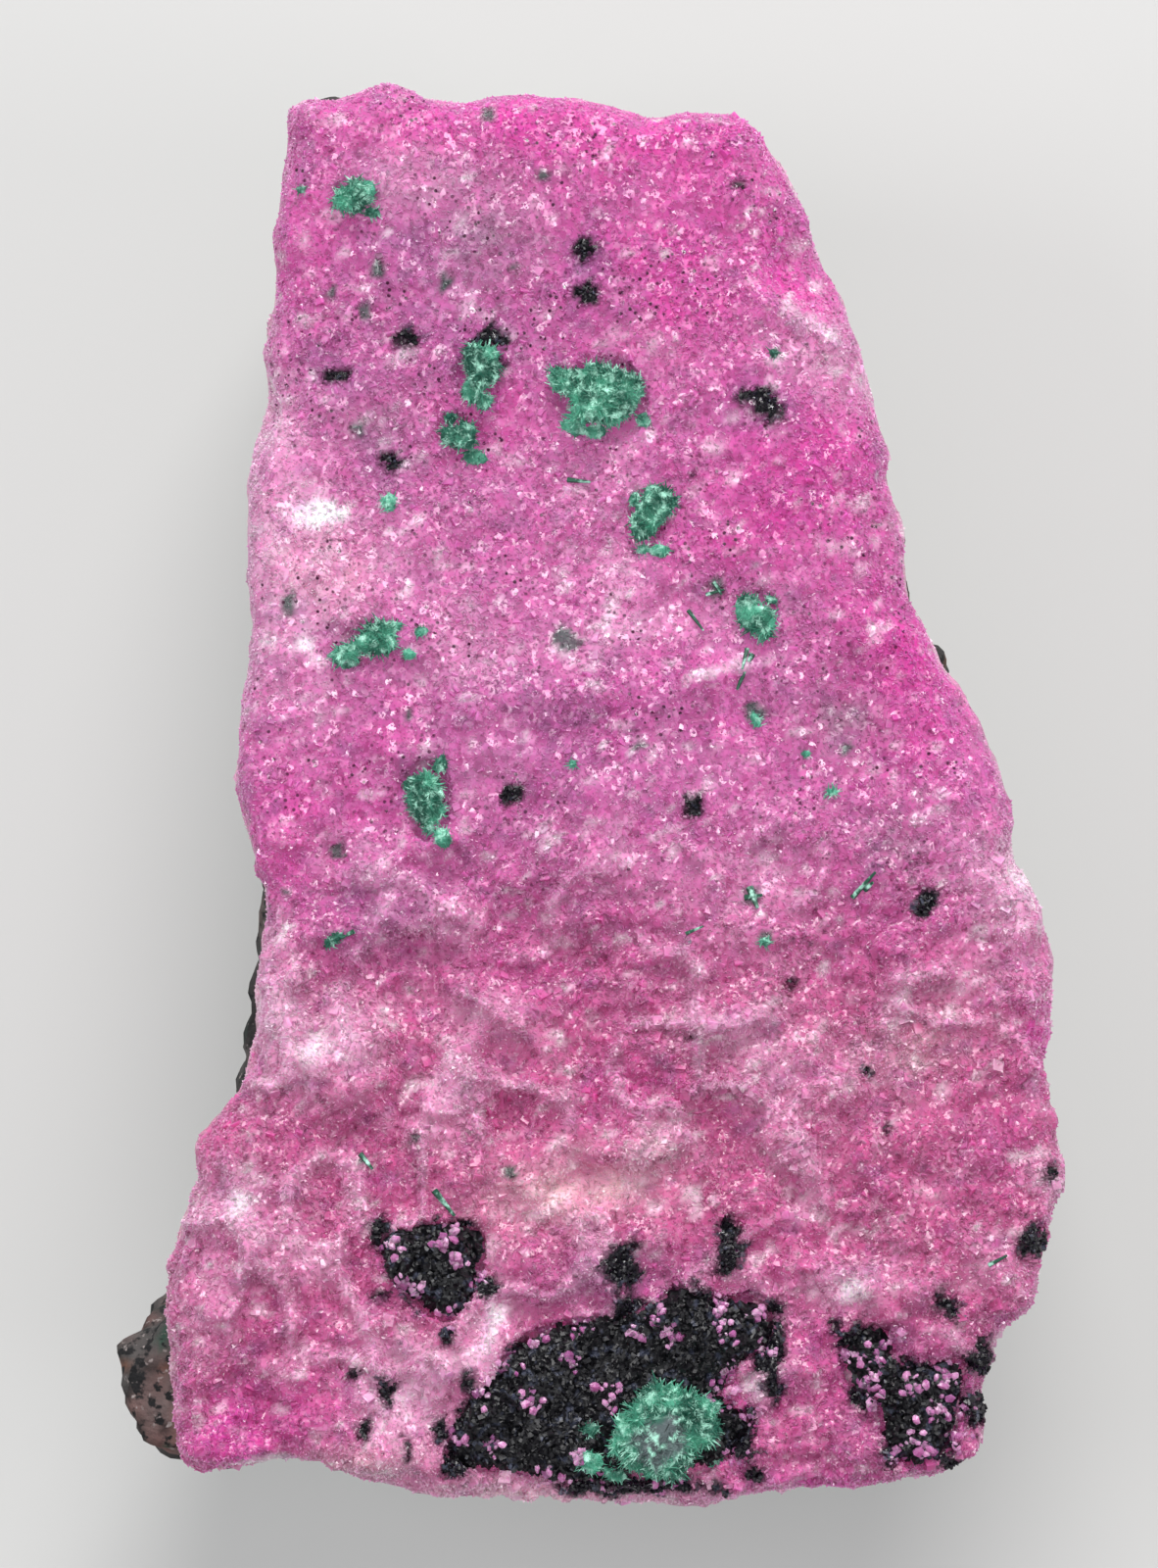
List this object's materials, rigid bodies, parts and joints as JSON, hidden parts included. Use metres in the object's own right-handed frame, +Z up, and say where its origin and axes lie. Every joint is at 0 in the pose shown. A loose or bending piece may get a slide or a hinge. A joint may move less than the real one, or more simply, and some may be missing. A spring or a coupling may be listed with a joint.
{
  "type": "cobaltoan calcite specimen",
  "caption": "Mineral specimen: pink drusy calcite crust on dark rock, with black oxide patches and green malachite tufts, lying on its flat back.",
  "frame": {"origin": "middle of the bounding box, at the surface that the flat back rests on", "axes": "+Z up out of the drusy face, +Y towards the narrow end, which is the top of the picture"},
  "size_m": [0.0376, 0.0562, 0.0185],
  "materials": {
    "calcite": "sparkling drusy pink calcite",
    "rock": "rough broken dark matrix rock",
    "oxide": "sooty black oxide with fine glitter",
    "malachite": "velvety green needles"
  },
  "bodies": {
    "root": {"calcite_crust": "calcite", "matrix_rock": "rock", "black_oxide_large": "oxide", "black_oxide_round": "oxide", "black_oxide_corner": "oxide", "malachite_knob": "malachite", "malachite_tuft_middle": "malachite", "malachite_tuft_neck": "malachite", "malachite_tuft_left_pair": "malachite", "malachite_tuft_right": "malachite", "malachite_tuft_shoulder": "malachite", "malachite_tuft_diagonal": "malachite", "malachite_tuft_upright": "malachite", "malachite_tuft_top": "malachite"}
  },
  "joints": []
}
